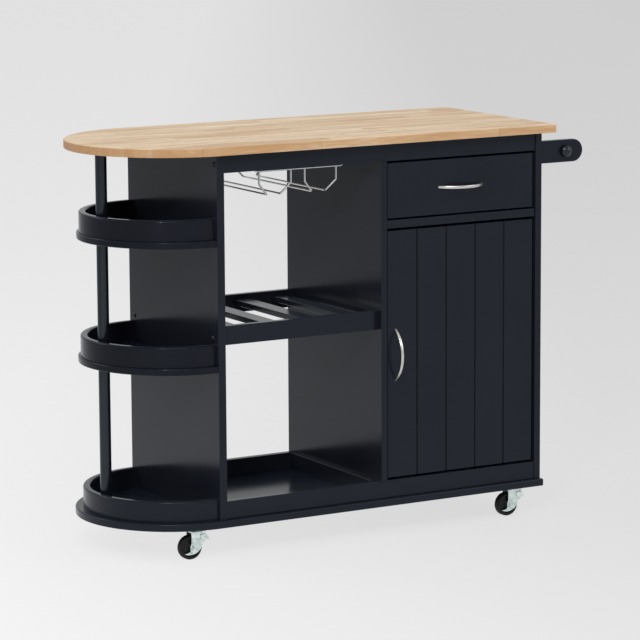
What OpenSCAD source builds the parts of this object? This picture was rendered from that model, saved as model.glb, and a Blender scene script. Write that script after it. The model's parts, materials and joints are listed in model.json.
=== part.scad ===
// Kitchen island cart on four swivel casters.
// X runs along the length from the half-round tray end to the towel rail end,
// the doors and drawer face -Y, and Z is up. The origin lies on the floor,
// below the middle of the whole cart. All lengths are millimetres.

/* [Worktop] */
// Length of the worktop from the round tip to the square end
top_len = 1099; // [1060:1:1130]
// Depth of the worktop, which is also the diameter of its round end
top_depth = 474; // [466:1:490]
// Thickness of the worktop
top_t = 19; // [16:1:25]
// Height of the worktop's upper face above the floor
top_z = 908; // [890:1:930]

/* [Carcass] */
// Depth of the side panels, front edge to rear edge
carcass_d = 423; // [415:1:430]
// Thickness of the left side panel
left_t = 18; // [16:1:19]
// Clear width of the open bay
bay_w = 394.5; // [380:0.5:400]
// Thickness of the divider between bay and cabinet
divider_t = 15; // [14:1:16]
// Clear width of the cabinet
cabinet_w = 396; // [390:1:400]
// Thickness of the right side panel
right_t = 16; // [14:1:18]
// Thickness of the front and rear rails
rail_t = 16; // [14:1:18]
// Height of the top rails below the worktop
top_rail_h = 41; // [36:1:44]
// Height of the bottom rails above the base board
bottom_rail_h = 40; // [34:1:44]
// Height of the rail between the drawer and the door
mid_rail_h = 18; // [16:1:20]
// Height of the upper face of that rail above the floor
mid_rail_top = 715; // [700:1:720]
// Thickness of the cabinet's back panel
back_t = 5; // [3:1:6]
// Thickness of the loose cabinet shelf
shelf_t = 16; // [12:1:18]
// Height of the loose shelf's upper face
shelf_top = 408; // [300:4:500]

/* [Base board] */
// Underside of the base board above the floor, which is the caster height
base_z = 69.5; // [68:0.5:72]
// Thickness of the base board
base_t = 16.5; // [15:0.5:18]
// Depth of the base board, also the diameter of its round end
base_depth = 443.6; // [436:0.4:450]
// Overhang of the base board past the right side panel
base_over = 4; // [2:1:10]

/* [Bottle shelf] */
// Height of the shelf rails' upper edge
bottle_rail_top = 512; // [480:1:540]
// Height of the shelf rails
bottle_rail_h = 42; // [36:1:46]
// Setback of the shelf rails from the carcass front and rear
bottle_setback = 16; // [10:1:20]
// Number of slats
slat_count = 4; // [3:1:4]
// Width of one slat
slat_w = 39; // [34:1:44]
// Thickness of one slat
slat_t = 13; // [10:1:14]
// Distance from one slat to the next
slat_pitch = 101; // [96:1:104]
// Upper face of the slats above the floor
slat_top = 501.5; // [485:0.5:505]

/* [Round trays] */
// Radius of the two upper tray boards
tray_r = 210; // [206:1:214]
// Thickness of the tray boards
tray_t = 15; // [12:1:18]
// Underside of the upper tray board above the floor
upper_tray_z = 688.5; // [660:0.5:720]
// Underside of the middle tray board above the floor
middle_tray_z = 412.5; // [390:0.5:430]
// Outer radius of the bent rims on the upper trays
rim_r = 200; // [198:1:202]
// Outer radius of the bent rim on the base board
base_rim_r = 204; // [203:1:206]
// Thickness of the bent rims
rim_t = 16; // [12:1:17]
// Height of the bent rims
rim_h = 46; // [40:1:52]
// Diameter of the corner post
post_d = 25.5; // [22:0.5:27]
// Distance of the post's axis from the left side panel's outer face
post_x = 172; // [166:1:172]

/* [Drawer and door] */
// Gap round the drawer front and the door at each side
side_gap = 5; // [4:0.5:6]
// Setback of the drawer and door faces from the carcass front
face_setback = 6; // [4:1:8]
// Thickness of the drawer front and the door
face_t = 16; // [15:1:18]
// Height of the drawer front
drawer_front_h = 123; // [118:1:125]
// Lower edge of the drawer front above the floor
drawer_front_z = 719.3; // [718:0.1:722]
// Lower edge of the door above the floor
door_z = 131.3; // [130:0.1:134]
// Height of the door
door_h = 559.5; // [550:0.5:562]
// Number of planks that the door's grooves mark out
plank_count = 5; // [4:1:6]
// Depth of each groove
groove_d = 2; // [1:0.5:3]
// Thickness of the drawer box's sides and back
box_t = 12; // [10:1:15]
// Height of the drawer box's sides
box_h = 85; // [70:1:88]
// Length of the drawer box behind its front
box_len = 344; // [335:1:350]
// Length of the drawer runners
runner_len = 320; // [310:1:330]

/* [Handles] */
// Length of a bow handle, end to end
handle_len = 114; // [108:1:120]
// Reach of a bow handle from the face it is fixed to
handle_reach = 31; // [26:1:31]
// Width of the bow
handle_w = 6.5; // [5:0.5:8]
// Thickness of the bow
handle_t = 3.5; // [3:0.5:4.5]
// Distance of the door handle from the door's free edge
door_handle_in = 21; // [18:1:30]

/* [Towel rail] */
// Reach of the brackets from the right side panel
bracket_reach = 117; // [112:1:120]
// Height of the brackets
bracket_h = 51.6; // [48:0.4:54]
// Thickness of the brackets
bracket_t = 15; // [12:1:18]
// Height of the brackets' and the rod's axis above the floor
bracket_z = 841.5; // [830:0.5:845]
// Diameter of the towel rod
rod_d = 26; // [22:1:30]
// Distance of the rod's axis from the right side panel
rod_out = 68.5; // [60:0.5:80]
// Length of rod that stands proud of each bracket
rod_proud = 15; // [10:1:16]

/* [Stemware rack] */
// Diameter of the rack's wire
wire_d = 4.4; // [3.6:0.2:5]
// Distance between the axes of the two channels
channel_pitch = 114.4; // [110:0.4:120]
// Half width of a channel at the cross bars
channel_top = 39.7; // [36:0.1:42]
// Half width of a channel at its runners
channel_low = 17; // [15:0.5:20]
// Height of the cross bars above the floor
rack_bar_z = 843.5; // [838:0.5:844]
// Height of the runners above the floor
rack_low_z = 789.5; // [780:0.5:800]

/* [Casters] */
// Diameter of a caster wheel
wheel_d = 54; // [50:1:54]
// Width of a caster wheel
wheel_w = 18; // [16:1:18]
// Distance of a wheel's axle behind its swivel axis
trail = 20; // [18:1:22]
// Side of the square mounting plate
plate_w = 40; // [38:1:44]
// Distance of the swivel axes from the middle of the cart, front and rear
caster_y = 177; // [170:1:180]
// Place of the left swivel axes along the length
caster_xl = -399; // [-410:1:-390]
// Place of the right swivel axes along the length
caster_xr = 428; // [420:1:435]

/* [Hidden] */
$fn = 64;

// Length positions, from left to right
xl0 = -360.5;                       // left panel, outer face
xl1 = xl0 + left_t;                 // left panel, bay face
xd0 = xl1 + bay_w;                  // divider, bay face
xd1 = xd0 + divider_t;              // divider, cabinet face
xr0 = xd1 + cabinet_w;              // right panel, cabinet face
xr1 = xr0 + right_t;                // right panel, outer face
xt1 = xl0 + 1.5 + top_len - top_depth / 2;   // worktop, square end
yc = carcass_d / 2;                 // carcass front and rear
zt = top_z - top_t;                 // worktop underside
zb = base_z + base_t;               // base board upper face
zr = zt - top_rail_h;               // top rails' lower edge
yf = -yc + face_setback;            // drawer and door faces
yk = yf + face_t;                   // rear of drawer front and door
dx0 = xd1 + side_gap;               // drawer front and door, left edge
dx1 = xr0 - side_gap;               // drawer front and door, right edge
dxm = (dx0 + dx1) / 2;
top_rail_y = yc - 2.5;              // outer face of the top rails
low_rail_y = yc - 1.5;              // outer face of the front bottom rail
rear_low_y = yc - 16;               // outer face of the rear bottom rail
bottle_y = yc - bottle_setback;     // outer face of the bottle shelf rails
bottle_t = 15;                      // thickness of the bottle shelf rails
bolt_r = 3;
bolt_fit = 0.1;
handle_drop = 6;                    // handle feet, from the bow's ends
screw_r = 2;
drawer_hz = drawer_front_z + drawer_front_h / 2;
door_hz = door_z + door_h / 2 - 0.5;
door_hx = dx0 + door_handle_in;
box_x0 = xd1 + 13;                  // drawer box, outer faces
box_x1 = xr0 - 13;
box_z0 = 727;
groove_z = box_z0 + 6;              // drawer bottom's groove
groove_in = 5;
run_z = 765;                        // runner axis height
run_y0 = yk + 2;                    // runner front end
rack_x = -142;
rack_y0 = -184.5;
rack_y1 = 150;
tray_x = xl0 - 1.8;                 // centre of the tray boards' arc
rim_x = xl0 - 6.5;                  // centre of the upper rims' arc
wheel_r = wheel_d / 2;
hinge_z = [door_z + 90, door_z + door_h - 90];
cup_x = dx1 - 22.5;
post_ax = xl0 - post_x;
black = [0.09, 0.1, 0.12];
plate_steel = [0.8, 0.82, 0.82];

module box(x0, x1, y0, y1, z0, z1) {
    translate([x0, y0, z0]) cube([x1 - x0, y1 - y0, z1 - z0]);
}

// Half disc on the -X side of x = cx, closed by a straight stretch to x = x1
module round_end(cx, r, x1, h) {
    linear_extrude(h) union() {
        intersection() {
            translate([cx, 0]) circle(r, $fn = 128);
            translate([cx - r - 1, -r - 1]) square([r + 1, 2 * r + 2]);
        }
        translate([cx, -r]) square([x1 - cx, 2 * r]);
    }
}

// Upright strip section with softened upper corners, from radius r - t to r
module rim_section(r, t, h) {
    c = 4;
    translate([r - t, 0]) square([t, h - c]);
    translate([r - t + c, 0]) square([t - 2 * c, h]);
    translate([r - t + c, h - c]) circle(c, $fn = 32);
    translate([r - c, h - c]) circle(c, $fn = 32);
}

// Bent rim: half a ring and two straight ends up to x = x1
module bent_rim(cx, r, x1, z) {
    translate([cx, 0, z]) rotate([0, 0, 90]) rotate_extrude(angle = 180, $fn = 128) rim_section(r, rim_t, rim_h);
    for (s = [0, 1]) mirror([0, s, 0])
        translate([cx, 0, z]) rotate([90, 0, 90]) linear_extrude(x1 - cx) rim_section(r, rim_t, rim_h);
}

module bolt_holes_x(x0, x1, list) {
    for (p = list) translate([x0, p[0], p[1]]) rotate([0, 90, 0]) cylinder(h = x1 - x0, r = bolt_r + bolt_fit);
}
top_bolts = [[-top_rail_y + rail_t / 2, 868.5], [top_rail_y - rail_t / 2, 868.5]];
right_bolts = [[-top_rail_y + rail_t / 2, 878.5], [top_rail_y - rail_t / 2, 878.5]];
bottle_bolts = [[-bottle_y + bottle_t / 2, 485.5], [bottle_y - bottle_t / 2, 485.5]];
bolt_reach = 34;                    // bolt shank inside a rail's end

module worktop() color([0.85, 0.72, 0.54])
    difference() {
        translate([0, 0, zt]) round_end(xl0 + 1.5, top_depth / 2, xt1, top_t);
        for (p = rack_feet) translate([p[0], p[1], zt - 1]) cylinder(h = 13, r = 1.6);
    }

module base_board() color(black)
    difference() {
        translate([0, 0, base_z]) round_end(tray_x, base_depth / 2, xr1 + base_over, base_t);
        for (c = casters, i = [-1, 1], j = [-1, 1])
            translate([c[0] + i * (plate_w / 2 - 5.5), c[1] + j * (plate_w / 2 - 5.5), base_z - 1]) cylinder(h = 13, r = 1.8);
    }

module left_side_panel() color(black)
    difference() {
        box(xl0, xl1, -yc, yc, zb, zt);
        bolt_holes_x(xl0 - 1, xl1 + 1, concat(top_bolts, bottle_bolts));
    }

module divider_panel() color(black)
    difference() {
        box(xd0, xd1, -yc, yc, zb, zt);
        box(xd0 - 1, xd1 + 1, -yc - 1, -top_rail_y + rail_t, zr, zt + 1);
        box(xd0 - 1, xd1 + 1, top_rail_y - rail_t, yc + 1, zr, zt + 1);
        box(xd0 - 1, xd1 + 1, -yc - 1, -low_rail_y + rail_t, zb - 1, zb + bottom_rail_h);
        bolt_holes_x(xd0 - 1, xd1 + 1, bottle_bolts);
        for (y = [-90, 150]) translate([xd1 - 8, y, shelf_top - shelf_t - 2.5]) rotate([0, 90, 0]) cylinder(h = 9, r = 2.55);
    }

module right_side_panel() color(black)
    difference() {
        box(xr0, xr1, -yc, yc, zb, zt);
        bolt_holes_x(xr0 - 1, xr1 + 1, right_bolts);
        for (y = [-90, 150]) translate([xr0 - 1, y, shelf_top - shelf_t - 2.5]) rotate([0, 90, 0]) cylinder(h = 9, r = 2.55);
    }

module top_rail(s) color(black)
    mirror([0, s, 0]) difference() {
        box(xl1, xr0, -top_rail_y, -top_rail_y + rail_t, zr, zt);
        bolt_holes_x(xl1 - 1, xl1 + bolt_reach, [top_bolts[0]]);
        bolt_holes_x(xr0 - bolt_reach, xr0 + 1, [right_bolts[0]]);
    }
module front_top_rail() top_rail(0);
module rear_top_rail() top_rail(1);

module front_bottom_rail() color(black) box(xl1, xr0, -low_rail_y, -low_rail_y + rail_t, zb, zb + bottom_rail_h);
module rear_bottom_rail() color(black) box(xl1, xd0, rear_low_y - rail_t, rear_low_y, zb, zb + bottom_rail_h - 1);
module bay_side_rails() color(black)
    for (x = [xl1, xd0 - 12]) box(x, x + 12, -low_rail_y + rail_t, rear_low_y - rail_t, zb, zb + bottom_rail_h - 1.5);
module drawer_door_rail() color(black) box(xd1, xr0, -yc + 3, -yc + 3 + rail_t, mid_rail_top - mid_rail_h, mid_rail_top);
module cabinet_back_panel() color(black) box(xd1, xr0, yc - 9, yc - 9 + back_t, zb, zr);

module cabinet_shelf() color(black) box(xd1 + 0.5, xr0 - 0.5, -150, yc - 10, shelf_top - shelf_t, shelf_top);
module shelf_pins() color(plate_steel)
    for (y = [-90, 150]) {
        translate([xd1 - 8, y, shelf_top - shelf_t - 2.5]) rotate([0, 90, 0]) cylinder(h = 18, r = 2.5);
        translate([xr0 - 10, y, shelf_top - shelf_t - 2.5]) rotate([0, 90, 0]) cylinder(h = 18, r = 2.5);
    }

module bottle_rail(s) color(black)
    mirror([0, s, 0]) difference() {
        box(xl1, xd0, -bottle_y, -bottle_y + bottle_t, bottle_rail_top - bottle_rail_h, bottle_rail_top);
        bolt_holes_x(xl1 - 1, xl1 + bolt_reach, [bottle_bolts[0]]);
        bolt_holes_x(xd0 - bolt_reach, xd0 + 1, [bottle_bolts[0]]);
    }
module bottle_shelf_front_rail() bottle_rail(0);
module bottle_shelf_rear_rail() bottle_rail(1);
module bottle_shelf_slats() color(black)
    for (i = [0:slat_count - 1]) let (x = -141 + (i - (slat_count - 1) / 2) * slat_pitch)
        box(x - slat_w / 2, x + slat_w / 2, -bottle_y + bottle_t, bottle_y - bottle_t, slat_top - slat_t, slat_top);

module tray_board(z) color(black) translate([0, 0, z]) round_end(tray_x, tray_r, xl0, tray_t);
module upper_tray_board() tray_board(upper_tray_z);
module middle_tray_board() tray_board(middle_tray_z);
module upper_tray_rim() color(black) bent_rim(rim_x, rim_r, xl0, upper_tray_z + tray_t);
module middle_tray_rim() color(black) bent_rim(rim_x, rim_r, xl0, middle_tray_z + tray_t);
module base_tray_rim() color(black) bent_rim(tray_x, base_rim_r, xl0, zb);

module post(z0, z1) color(black) translate([post_ax, 0, z0]) cylinder(h = z1 - z0, r = post_d / 2);
module upper_post() post(upper_tray_z + tray_t, zt);
module middle_post() post(middle_tray_z + tray_t, upper_tray_z);
module lower_post() post(zb, middle_tray_z);

// Bent wire: a closed tube of round section along a line of points, its inner corners rounded to radius q
function unit(v) = v / norm(v);
function rounded(p, q, n = 6) = [
    for (i = [0:len(p) - 1])
        if (i == 0 || i == len(p) - 1) p[i]
        else
            let (a = unit(p[i - 1] - p[i]), b = unit(p[i + 1] - p[i]), half = acos(a * b) / 2,
                c = p[i] + unit(a + b) * q / sin(half), u = p[i] + a * q / tan(half) - c, w = unit(p[i] - c) * q,
                v = unit(w - u * (w * u) / (q * q)) * q, turn = 180 - 2 * half)
            for (k = [0:n]) c + u * cos(turn * k / n) + v * sin(turn * k / n)
];
function side_of(u, t) = unit(u - t * (u * t));
function sides(t, u, i = 0) = i == len(t) ? [] : let (w = side_of(u, t[i])) concat([w], sides(t, w, i + 1));
module bent_wire(p, q = 6, m = 14) {
    l = rounded(p, q);
    n = len(l);
    t = [for (i = [0:n - 1]) unit(l[min(i + 1, n - 1)] - l[max(i - 1, 0)])];
    s = sides(t, unit(cross(t[0], abs(t[0][2]) > 0.9 ? [1, 0, 0] : [0, 0, 1])));
    polyhedron(
        points = concat([for (i = [0:n - 1], k = [0:m - 1]) l[i] + (s[i] * cos(360 * k / m) + cross(t[i], s[i]) * sin(360 * k / m)) * wire_d / 2], [l[0], l[n - 1]]),
        faces = concat(
            [for (i = [0:n - 2], k = [0:m - 1]) let (a = i * m + k, b = i * m + (k + 1) % m) [a, b + m, b]],
            [for (i = [0:n - 2], k = [0:m - 1]) let (a = i * m + k, b = i * m + (k + 1) % m) [a, a + m, b + m]],
            [for (k = [0:m - 1]) [n * m, k, (k + 1) % m]],
            [for (k = [0:m - 1]) [n * m + 1, (n - 1) * m + (k + 1) % m, (n - 1) * m + k]]));
}
rack_half = channel_pitch / 2 + channel_top + 14;
rack_feet = [for (y = [rack_y0, rack_y1], s = [-1, 1]) [rack_x + s * (rack_half + 12), y]];
hoop_y0 = rack_y0 + wire_d + 0.02;   // the hoops' ends stand against the inner sides of the cross bars
hoop_y1 = rack_y1 - wire_d - 0.02;
// Two cross bars bent up to foot plates under the worktop, and four hoops welded to the bars
module rack_cross_bar(y) {
    bent_wire([[rack_x - rack_half, y, zt - 2], [rack_x - rack_half, y, rack_bar_z], [rack_x + rack_half, y, rack_bar_z], [rack_x + rack_half, y, zt - 2]]);
    for (s = [-1, 1]) difference() {
        union() {
            translate([rack_x + s * (rack_half + 12), y, zt - 2]) cylinder(h = 2, r = 8);
            box(rack_x + min(s * (rack_half - 4), s * (rack_half + 12)), rack_x + max(s * (rack_half - 4), s * (rack_half + 12)), y - 5, y + 5, zt - 2, zt);
        }
        translate([rack_x + s * (rack_half + 12), y, zt - 3]) cylinder(h = 4, r = 1.9);
    }
}
module rack_hoop(xc, s) let (xt = xc + s * channel_top, xb = xc + s * channel_low)
    bent_wire([[xt, hoop_y0, rack_bar_z + 1], [xt, hoop_y0, rack_bar_z - 30], [xb, hoop_y0 + 8, rack_low_z],
        [xb, hoop_y1 - 3, rack_low_z], [xt, hoop_y1, rack_bar_z - 30], [xt, hoop_y1, rack_bar_z + 1]], 4);
module stemware_rack() color([0.85, 0.86, 0.88]) {
    for (y = [rack_y0, rack_y1]) rack_cross_bar(y);
    for (c = [-1, 1], s = [-1, 1]) rack_hoop(rack_x + c * channel_pitch / 2, s);
}
module rack_screws() color(plate_steel)
    for (p = rack_feet) translate([p[0], p[1], 0]) {
        translate([0, 0, zt - 2]) cylinder(h = 13, r = 1.5);
        intersection() {
            translate([0, 0, zt + 2]) sphere(6.4);
            translate([-4, -4, zt - 4.2]) cube([8, 8, 2.2]);
        }
    }

module towel_brackets() color(black)
    for (s = [0, 1]) mirror([0, s, 0])
        translate([xr1, -yc + 6.5 + bracket_t, bracket_z]) rotate([90, 0, 0]) linear_extrude(bracket_t)
            difference() {
                union() {
                    translate([0, -bracket_h / 2]) square([bracket_reach - bracket_h / 2, bracket_h]);
                    intersection() {
                        translate([bracket_reach - bracket_h / 2, 0]) circle(bracket_h / 2);
                        translate([0, -bracket_h]) square([bracket_reach + 1, 2 * bracket_h]);
                    }
                }
                translate([rod_out, 0]) circle(rod_d / 2);
            }
module towel_rod() color(black)
    let (half = yc - 6.5 + rod_proud, r = rod_d / 2, e = 5)
        translate([xr1 + rod_out, 0, bracket_z]) rotate([90, 0, 0]) rotate_extrude() {
            translate([0, -half]) square([r - e, 2 * half]);
            translate([0, -half + e]) square([r, 2 * (half - e)]);
            for (s = [-1, 1]) translate([r - e, s * (half - e)]) intersection() {
                circle(e, $fn = 32);
                translate([-r + e, -e]) square([r, 2 * e]);
            }
        }

module dome_bolt(len) {
    rotate([0, 90, 0]) cylinder(h = len, r = bolt_r);
    intersection() {
        translate([6.5, 0, 0]) sphere(9.2);
        translate([-3, -7, -7]) cube([3, 14, 14]);
    }
}
module panel_bolts() color([0.12, 0.12, 0.13]) {
    for (p = concat(top_bolts, bottle_bolts)) translate([xl0, p[0], p[1]]) dome_bolt(left_t + bolt_reach - 2);
    for (p = right_bolts) translate([xr1, p[0], p[1]]) mirror([1, 0, 0]) dome_bolt(right_t + bolt_reach - 2);
    for (p = bottle_bolts) translate([xd1, p[0], p[1]]) mirror([1, 0, 0]) dome_bolt(divider_t + bolt_reach - 2);
}

// The two runners are mirror images about the cabinet's middle
module runners() for (s = [0, 1]) translate([s * (xd1 + xr0), 0, 0]) mirror([s, 0, 0]) children();
module drawer_runner_channels() color(plate_steel) runners() {
    box(xd1, xd1 + 1.2, run_y0, run_y0 + runner_len, run_z - 17.5, run_z + 17.5);
    for (z = [-17.5, 16.3]) box(xd1, xd1 + 8, run_y0, run_y0 + runner_len, run_z + z, run_z + z + 1.2);
}
module drawer_runner_slides() color(plate_steel) runners() {
    box(box_x0 - 1.2, box_x0, run_y0, run_y0 + runner_len, run_z - 12, run_z + 12);
    for (z = [-12, 10.8]) box(xd1 + 4, box_x0, run_y0, run_y0 + runner_len, run_z + z, run_z + z + 1.2);
}
module drawer_runner_cages() color([0.6, 0.6, 0.58]) runners() {
    cy = run_y0 + runner_len / 2;
    box(xd1 + 2, xd1 + 2.8, cy - 38, cy + 38, run_z - 14.55, run_z + 14.55);
    for (z = [-14.55, 13.75]) box(xd1 + 2, xd1 + 7.6, cy - 38, cy + 38, run_z + z, run_z + z + 0.8);
    for (s = [-1, 1], y = [-30, 0, 30]) translate([xd1 + 5.6, cy + y, run_z + s * 14.15]) sphere(1.85);
}

// Bow handle standing off the plane y = 0 towards -Y, its length along Z
module bow() {
    sag = handle_reach - handle_t / 2;
    r = (handle_len * handle_len / 4 + sag * sag) / (2 * sag);
    hole = handle_len / 2 - handle_drop;
    foot = sqrt(r * r - hole * hole) - (r - sag);
    difference() {
        union() {
            intersection() {
                translate([0, r - sag, 0]) rotate([90, 0, 90]) rotate([0, 0, 90]) rotate_extrude(angle = 180, $fn = 128)
                    union() {
                        translate([r - handle_t / 2, -(handle_w - handle_t) / 2]) square([handle_t, handle_w - handle_t]);
                        for (s = [-1, 1]) translate([r, s * (handle_w - handle_t) / 2]) circle(handle_t / 2, $fn = 24);
                    }
                box(-handle_w, handle_w, -60, 0, -handle_len / 2 - 5, handle_len / 2 + 5);
            }
            for (s = [-1, 1]) translate([0, 0, s * hole]) rotate([90, 0, 0]) cylinder(h = foot + 1.2, r = 3.4);
        }
        for (s = [-1, 1]) translate([0, 1, s * hole]) rotate([90, 0, 0]) cylinder(h = foot - 0.5, r = screw_r + 0.05);
    }
}
module bow_screws() {
    sag = handle_reach - handle_t / 2;
    r = (handle_len * handle_len / 4 + sag * sag) / (2 * sag);
    hole = handle_len / 2 - handle_drop;
    foot = sqrt(r * r - hole * hole) - (r - sag);
    for (s = [-1, 1]) translate([0, 0, s * hole]) {
        translate([0, face_t, 0]) rotate([90, 0, 0]) cylinder(h = face_t + foot - 3, r = screw_r);
        intersection() {
            translate([0, face_t - 3, 0]) sphere(5.4);
            translate([-5, face_t, -5]) cube([10, 2.4, 10]);
        }
    }
}
module bow_holes() for (s = [-1, 1]) translate([0, -1, s * (handle_len / 2 - handle_drop)]) rotate([-90, 0, 0]) cylinder(h = face_t + 2, r = screw_r + 0.2);

module drawer_front() color(black)
    difference() {
        box(dx0, dx1, yf, yk, drawer_front_z, drawer_front_z + drawer_front_h);
        box(box_x0 + box_t - groove_in, box_x1 - box_t + groove_in, yk - groove_in, yk + 1, groove_z, groove_z + 5);
        translate([dxm, yf, drawer_hz]) rotate([0, 90, 0]) bow_holes();
    }
module drawer_sides() color([0.72, 0.6, 0.44])
    for (s = [0, 1]) translate([s * (xd1 + xr0), 0, 0]) mirror([s, 0, 0])
        difference() {
            box(box_x0, box_x0 + box_t, yk, yk + box_len, box_z0, box_z0 + box_h);
            box(box_x0 + box_t - groove_in, box_x0 + box_t + 1, yk - 1, yk + box_len + 1, groove_z, groove_z + 5);
        }
module drawer_back() color([0.72, 0.6, 0.44])
    box(box_x0 + box_t, box_x1 - box_t, yk + box_len - box_t, yk + box_len, groove_z + 5, box_z0 + box_h);
module drawer_bottom() color([0.7, 0.58, 0.42])
    box(box_x0 + box_t - groove_in, box_x1 - box_t + groove_in, yk - groove_in, yk + box_len, groove_z, groove_z + 5);
module drawer_handle() color([0.78, 0.78, 0.78]) translate([dxm, yf, drawer_hz]) rotate([0, 90, 0]) bow();
module drawer_handle_screws() color(plate_steel) translate([dxm, yf, drawer_hz]) rotate([0, 90, 0]) bow_screws();

module door_panel() color(black)
    difference() {
        box(dx0, dx1, yf, yk, door_z, door_z + door_h);
        for (i = [1:plank_count - 1]) translate([dx0 + i * (dx1 - dx0) / plank_count, yf, door_z - 1])
            linear_extrude(door_h + 2) polygon([[-groove_d - 1, -1], [groove_d + 1, -1], [0, groove_d]]);
        for (z = hinge_z) translate([cup_x, yk + 1, z]) rotate([90, 0, 0]) cylinder(h = 12.5, r = 17.5);
        translate([door_hx, yf, door_hz]) bow_holes();
    }
module door_handle() color([0.78, 0.78, 0.78]) translate([door_hx, yf, door_hz]) bow();
module door_handle_screws() color(plate_steel) translate([door_hx, yf, door_hz]) bow_screws();
// Sprung cup hinges: the cup and its link are in the door, the arm on the side panel
module door_hinge_cups() color(plate_steel)
    for (z = hinge_z) translate([cup_x, yk, z]) {
        difference() {
            union() {
                translate([0, 0, 0]) rotate([90, 0, 0]) cylinder(h = 11.5, r = 17.45);
                box(-11, 11, 0, 1.2, -28, 28);
            }
            translate([0, 2, 0]) rotate([90, 0, 0]) cylinder(h = 12, r = 16);
        }
        box(2, 14, -11, 1, -5, 5);
    }
module door_hinge_arms() color(plate_steel)
    for (z = hinge_z) {
        box(xr0 - 2, xr0, yk + 16, yk + 66, z - 22, z + 22);
        box(xr0 - 13, xr0 - 2, yk + 3, yk + 60, z - 7, z + 7);
    }

// Swivel axes and the height of the wheels' axles
casters = [[caster_xl, -caster_y], [caster_xr, -caster_y], [caster_xl, caster_y], [caster_xr, caster_y]];
fork_top = 62;
leg_y = 11;
module caster_plates() color([0.55, 0.62, 0.6])
    for (c = casters) translate([c[0], c[1], 0]) {
        difference() {
            translate([-plate_w / 2, -plate_w / 2, base_z - 2]) cube([plate_w, plate_w, 2]);
            for (i = [-1, 1], j = [-1, 1]) translate([i * (plate_w / 2 - 5.5), j * (plate_w / 2 - 5.5), base_z - 3]) cylinder(h = 4, r = 2);
        }
        translate([0, 0, fork_top + 0.4]) cylinder(h = base_z - 2 - fork_top - 0.4, r = 13);
        translate([0, 0, 57.5]) cylinder(h = fork_top + 2 - 57.5, r = 4);
        translate([0, 0, 57.5]) cylinder(h = 2.1, r = 6.5);
    }
module caster_screws() color(plate_steel)
    for (c = casters, i = [-1, 1], j = [-1, 1])
        translate([c[0] + i * (plate_w / 2 - 5.5), c[1] + j * (plate_w / 2 - 5.5), 0]) {
            translate([0, 0, base_z - 2]) cylinder(h = 13, r = 1.75);
            intersection() {
                translate([0, 0, base_z + 2]) sphere(5.6);
                translate([-4, -4, base_z - 3.6]) cube([8, 8, 1.6]);
            }
        }

// Side of a fork, drawn about the axle, +x towards the swivel axis
module fork_side() {
    difference() {
        union() {
            polygon([[-1, fork_top - wheel_r], [34, fork_top - wheel_r], [34, 31], [25.5, 8], [21, -4], [14, -10.5], [8, -12.5], [-4, -9], [-5, 0], [-2, 10]]);
            intersection() {
                difference() {
                    translate([-4, 18]) circle(33.3, $fn = 96);
                    translate([-17, 10]) circle(21.7, $fn = 96);
                }
                translate([-26, -18]) square([36, 16]);
            }
        }
        circle(3.05);
        translate([27, 22]) circle(1.65);
    }
}
module fork(c) color([0.8, 0.84, 0.83]) translate([c[0] - trail, c[1], wheel_r]) {
    for (y = [-leg_y - 2, leg_y]) translate([0, y + 2, 0]) rotate([90, 0, 0]) linear_extrude(2) fork_side();
    difference() {
        union() {
            translate([-1, -leg_y - 2, fork_top - wheel_r - 2]) cube([35, 2 * leg_y + 4, 2]);
            translate([trail, 0, fork_top - wheel_r - 2]) cylinder(h = 2, r = 14.5);
        }
        translate([trail, 0, fork_top - wheel_r - 3]) cylinder(h = 4, r = 4.05);
    }
}
module axle(c) color(plate_steel) translate([c[0] - trail, c[1], wheel_r]) {
    rotate([90, 0, 0]) cylinder(h = 2 * leg_y + 6, r = 3, center = true);
    for (s = [-1, 1]) translate([0, s * (leg_y + 3.1), 0]) rotate([90, 0, 0]) cylinder(h = 2, r = 5, center = true);
}
module wheel(c) color([0.05, 0.05, 0.05]) translate([c[0] - trail, c[1], wheel_r]) rotate([90, 0, 0])
    rotate_extrude($fn = 96) polygon([[3.05, -10], [8, -10], [8, -6], [18.5, -6], [20.5, -wheel_w / 2], [wheel_r - 2, -wheel_w / 2],
        [wheel_r, -wheel_w / 2 + 2.5], [wheel_r, wheel_w / 2 - 2.5], [wheel_r - 2, wheel_w / 2], [20.5, wheel_w / 2], [18.5, 6], [8, 6], [8, 10], [3.05, 10]]);
// Foot brake: two cheeks outside the fork, a pedal across them, the pivot pin and a cam over the tread
module brake(c) color([0.82, 0.86, 0.85]) translate([c[0] - trail, c[1], wheel_r]) {
    for (y = [-leg_y - 3.9, leg_y + 2.4]) translate([0, y + 1.5, 0]) rotate([90, 0, 0]) linear_extrude(1.5)
        polygon([[20, 27.5], [33, 29.5], [43, 15.5], [41, 14], [33, 18.5], [29, 9.5], [24.5, 14], [20.5, 19.5]]);
    translate([0, leg_y + 3.9, 0]) rotate([90, 0, 0]) linear_extrude(2 * leg_y + 7.8)
        polygon([[35.5, 26], [43, 15.5], [41, 14], [35.5, 21.8]]);
    translate([27, leg_y + 3.9, 22]) rotate([90, 0, 0]) cylinder(h = 2 * leg_y + 7.8, r = 1.6);
    translate([0, 8.5, 0]) rotate([90, 0, 0]) linear_extrude(17) {
        translate([27, 22]) circle(3.25, $fn = 32);
        polygon([[29.7, 20.7], [25.49, 14.74], [22.25, 16.3], [24.3, 23.3]]);
    }
}

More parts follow.
